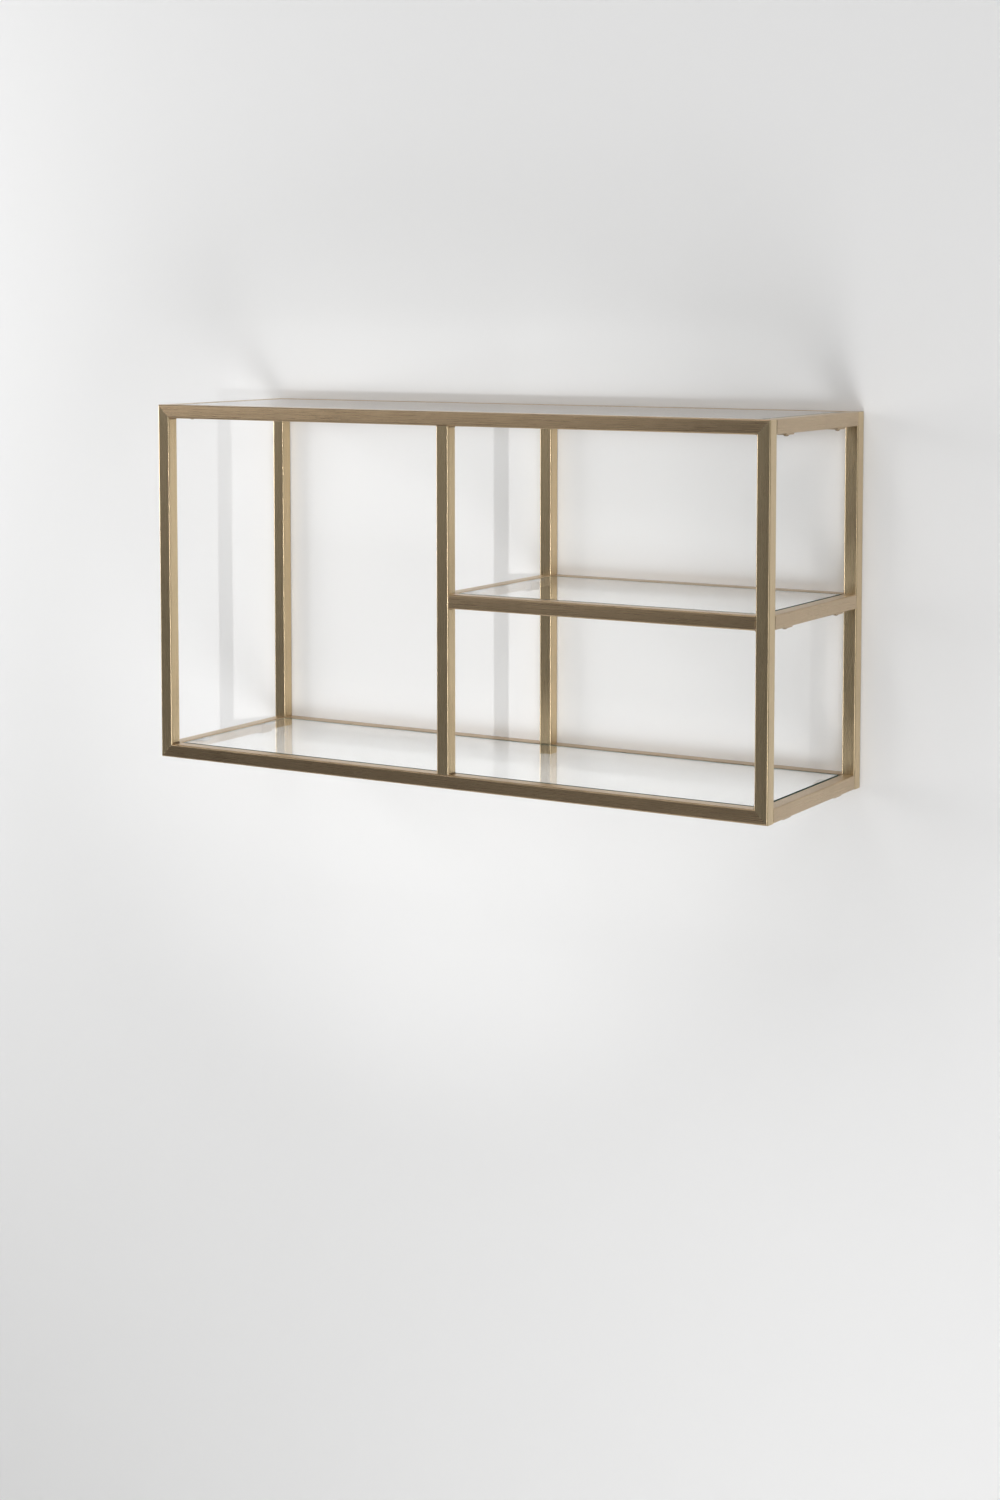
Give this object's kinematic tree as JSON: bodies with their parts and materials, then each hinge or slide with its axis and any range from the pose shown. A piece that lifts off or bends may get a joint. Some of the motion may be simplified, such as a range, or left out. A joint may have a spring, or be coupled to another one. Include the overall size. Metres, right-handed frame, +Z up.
{
  "type": "wall mounted display shelf",
  "caption": "Open wall-mounted display shelf: welded square-tube frame in brushed antique brass, with clear glass panels at top, bottom and a half-width middle level.",
  "frame": {"origin": "on the wall plane, at mid-width, in the middle of the top rear rail's back face", "axes": "+X to the right seen from the front, +Y into the wall, +Z up"},
  "size_m": [1, 0.31, 0.5346],
  "materials": {
    "antique_brass": "steel tube, brushed antique-brass finish",
    "clear_glass": "clear float glass with ground edges",
    "silicone": "translucent silicone",
    "screw_steel": "blackened brass-plated steel"
  },
  "bodies": {
    "frame": {"clip_bottom_left_front": "antique_brass", "clip_bottom_left_rear": "antique_brass", "clip_bottom_right_front": "antique_brass", "clip_bottom_right_rear": "antique_brass", "clip_shelf_left_front": "antique_brass", "clip_shelf_left_rear": "antique_brass", "clip_shelf_right_front": "antique_brass", "clip_shelf_right_rear": "antique_brass", "clip_top_left_front": "antique_brass", "clip_top_left_rear": "antique_brass", "clip_top_right_front": "antique_brass", "clip_top_right_rear": "antique_brass", "pad_bottom_left_front": "silicone", "pad_bottom_left_rear": "silicone", "pad_bottom_right_front": "silicone", "pad_bottom_right_rear": "silicone", "pad_shelf_left_front": "silicone", "pad_shelf_left_rear": "silicone", "pad_shelf_right_front": "silicone", "pad_shelf_right_rear": "silicone", "pad_top_left_front": "silicone", "pad_top_left_rear": "silicone", "pad_top_right_front": "silicone", "pad_top_right_rear": "silicone", "post_front_left": "antique_brass", "post_front_middle": "antique_brass", "post_front_right": "antique_brass", "post_rear_left": "antique_brass", "post_rear_middle": "antique_brass", "post_rear_right": "antique_brass", "rail_bottom_front": "antique_brass", "rail_bottom_left": "antique_brass", "rail_bottom_right": "antique_brass", "rail_top_front": "antique_brass", "rail_top_left": "antique_brass", "rail_top_rear": "antique_brass", "rail_top_right": "antique_brass", "rear_bar_bottom_left": "antique_brass", "rear_bar_bottom_right": "antique_brass", "rear_bar_shelf": "antique_brass", "screw_bottom_left_front": "screw_steel", "screw_bottom_left_rear": "screw_steel", "screw_bottom_right_front": "screw_steel", "screw_bottom_right_rear": "screw_steel", "screw_shelf_left_front": "screw_steel", "screw_shelf_left_rear": "screw_steel", "screw_shelf_right_front": "screw_steel", "screw_shelf_right_rear": "screw_steel", "screw_top_left_front": "screw_steel", "screw_top_left_rear": "screw_steel", "screw_top_right_front": "screw_steel", "screw_top_right_rear": "screw_steel", "shelf_rail_front": "antique_brass", "shelf_rail_left": "antique_brass", "shelf_rail_right": "antique_brass"},
    "top_glass": {"glass_top": "clear_glass"},
    "shelf_glass": {"glass_shelf": "clear_glass"},
    "bottom_glass": {"glass_bottom": "clear_glass"}
  },
  "joints": [
    {"name": "top_glass_lift", "type": "slide", "parent": "frame", "child": "top_glass", "axis": [0, 0, 1], "range_m": [0, 0.05]},
    {"name": "shelf_glass_lift", "type": "slide", "parent": "frame", "child": "shelf_glass", "axis": [0, 0, 1], "range_m": [0, 0.05]},
    {"name": "bottom_glass_lift", "type": "slide", "parent": "frame", "child": "bottom_glass", "axis": [0, 0, 1], "range_m": [0, 0.05]}
  ]
}
